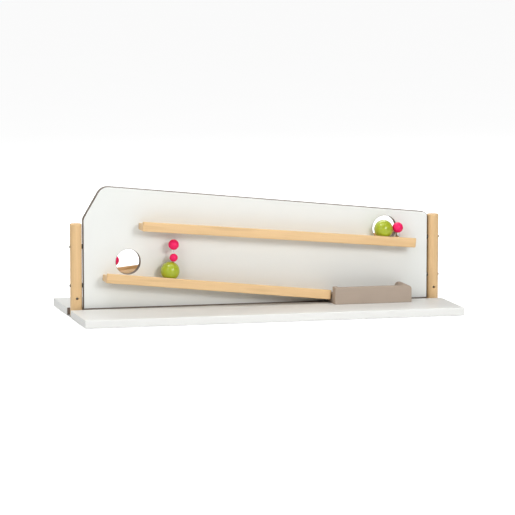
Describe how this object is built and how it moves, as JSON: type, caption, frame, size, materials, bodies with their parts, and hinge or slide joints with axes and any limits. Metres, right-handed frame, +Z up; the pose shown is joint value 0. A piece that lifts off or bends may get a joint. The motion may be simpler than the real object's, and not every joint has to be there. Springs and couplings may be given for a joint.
{
  "type": "ball run wall",
  "caption": "Low free-standing ball-run play wall: a slanted panel between two round poles on base boards, with sloping ledges, ball holes, a swinging knocker and a catch tray.",
  "frame": {"origin": "on the floor, under the middle of the two base boards, on the panel's centre plane", "axes": "+X along the wall towards the lower end with the catch tray, +Y through the panel to the back, +Z up"},
  "size_m": [1.458, 0.646, 0.4929],
  "materials": {
    "white_board": "white laminated board, rounded edges, satin",
    "white_laminate": "thin white laminate, satin",
    "ledge_beech": "clear lacquered beech, grain along the ledge",
    "panel_board": "bare brown-grey fibreboard edge",
    "beech": "clear lacquered beech",
    "dowel_wood": "plain dowel, unfinished",
    "taupe_lacquer": "taupe matte lacquered wood",
    "green_lacquer": "lime green gloss lacquered wooden ball",
    "pink_lacquer": "hot pink gloss lacquered wooden ball",
    "dark_steel": "dark finished steel",
    "bright_steel": "polished steel post or rod",
    "zinc_steel": "zinc plated screw steel",
    "steel_plate": "zinc plated flat bar",
    "black_plastic": "black nylon washer",
    "clear_plastic": "translucent plastic glider"
  },
  "bodies": {
    "wall": {"front_base_board": "white_board", "rear_base_board": "white_board", "base_gliders": "clear_plastic", "left_tie_plate": "steel_plate", "middle_tie_plate": "steel_plate", "right_tie_plate": "steel_plate", "tie_plate_screws": "zinc_steel", "panel_foot_screws": "zinc_steel", "left_pole": "beech", "right_pole": "beech", "pole_foot_bolts": "zinc_steel", "pole_barrel_nuts": "dark_steel", "panel_tie_bolts": "dark_steel", "panel_threaded_inserts": "zinc_steel", "panel_spacers": "black_plastic", "panel_core": "panel_board", "panel_front_laminate": "white_laminate", "panel_rear_laminate": "white_laminate", "upper_ledge": "ledge_beech", "lower_ledge": "ledge_beech", "rear_ledge": "ledge_beech", "upper_ledge_dowels": "dowel_wood", "lower_ledge_dowels": "dowel_wood", "rear_ledge_dowels": "dowel_wood", "front_stop_pin": "bright_steel", "front_stop_ball": "pink_lacquer", "rear_stop_pin": "bright_steel", "rear_stop_ball": "pink_lacquer", "knocker_bush": "black_plastic", "tray_front_wall": "taupe_lacquer", "tray_back_wall": "taupe_lacquer", "tray_left_wall": "taupe_lacquer", "tray_right_wall": "taupe_lacquer", "tray_base": "taupe_lacquer", "tray_dowels": "dowel_wood", "tray_screws": "zinc_steel"},
    "upper_ball": {"upper_green_ball": "green_lacquer"},
    "lower_ball": {"lower_green_ball": "green_lacquer"},
    "knocker": {"knocker_axle": "dark_steel", "knocker_axle_cap": "zinc_steel", "knocker_spacer": "dark_steel", "knocker_ball": "pink_lacquer", "knocker_rod": "bright_steel", "knocker_bead": "pink_lacquer"}
  },
  "joints": [
    {"name": "upper_ball_run", "type": "slide", "parent": "wall", "child": "upper_ball", "axis": [0.9963, 0, -0.086], "range_m": [-0.905, 0]},
    {"name": "lower_ball_run", "type": "slide", "parent": "wall", "child": "lower_ball", "axis": [0.9947, 0, -0.1032], "range_m": [-0.2, 0.605]},
    {"name": "knocker_swing", "type": "hinge", "parent": "wall", "child": "knocker", "pos_m": [-0.3369, -0.059, 0.27229], "axis": [0, -1, 0], "range_deg": [-110, 110]}
  ]
}
